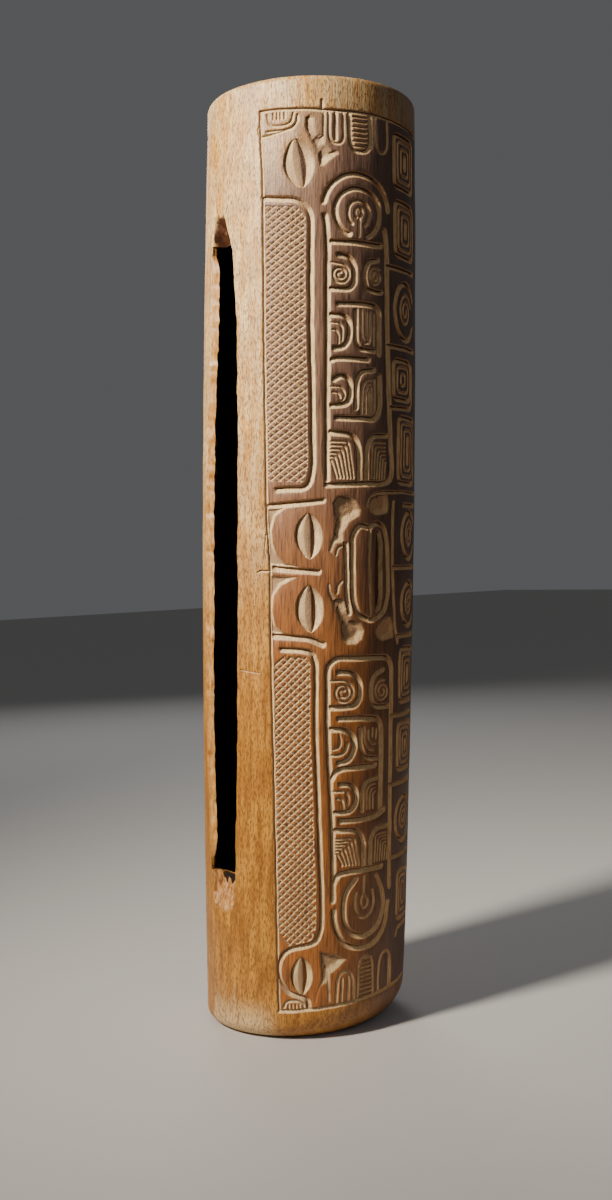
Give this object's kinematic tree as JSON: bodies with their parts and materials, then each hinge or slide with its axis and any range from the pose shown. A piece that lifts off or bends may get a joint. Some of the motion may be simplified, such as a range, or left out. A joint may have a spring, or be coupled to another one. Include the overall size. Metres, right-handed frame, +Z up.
{
  "type": "slit drum",
  "caption": "Upright wooden slit drum: one hollowed log with a long slit and a carved panel of gouged frames, faces, coils and hatched fields beside it.",
  "frame": {"origin": "centre of the flat underside that the drum stands on", "axes": "+Z up along the log's height, -Y out of the slit, +X towards the flank with the full carved panel"},
  "size_m": [0.1492, 0.1549, 0.6009],
  "materials": {
    "carved_wood": "satin, oiled and worn"
  },
  "bodies": {
    "root": {"drum": "carved_wood"}
  },
  "joints": []
}
